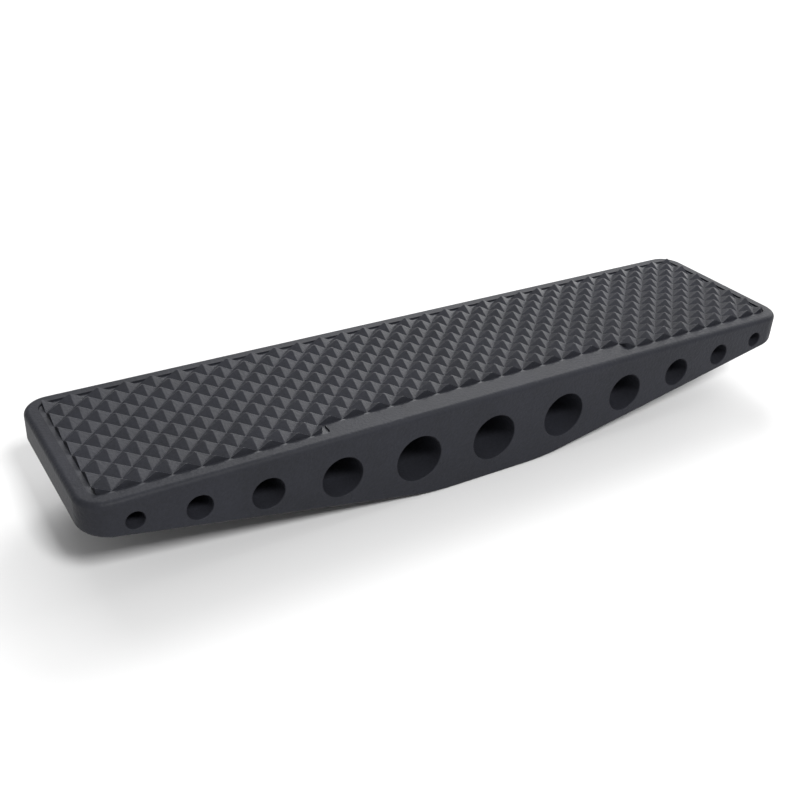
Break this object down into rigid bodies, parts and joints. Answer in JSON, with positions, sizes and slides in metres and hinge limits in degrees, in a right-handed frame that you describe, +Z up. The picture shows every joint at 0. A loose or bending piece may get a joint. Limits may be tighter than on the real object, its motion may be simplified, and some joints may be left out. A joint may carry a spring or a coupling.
{
  "type": "rocker balance pad",
  "caption": "Long moulded foam balance pad with a flat studded deck, a faceted belly that it rocks on, and graded cross holes through its sides.",
  "frame": {"origin": "under the middle of the flat stretch of the belly, in the plane that the pad rests on", "axes": "+X along the pad, +Y across it away from the wide blank border of the deck, +Z up out of the deck"},
  "size_m": [0.4438, 0.1044, 0.0548],
  "materials": {
    "moulded_foam": "matte moulded skin on dense closed-cell foam",
    "studded_mat": "matte, fine moulded grain on blunt pyramids"
  },
  "bodies": {
    "root": {"rocker_block": "moulded_foam", "grip_mat": "studded_mat"}
  },
  "joints": []
}
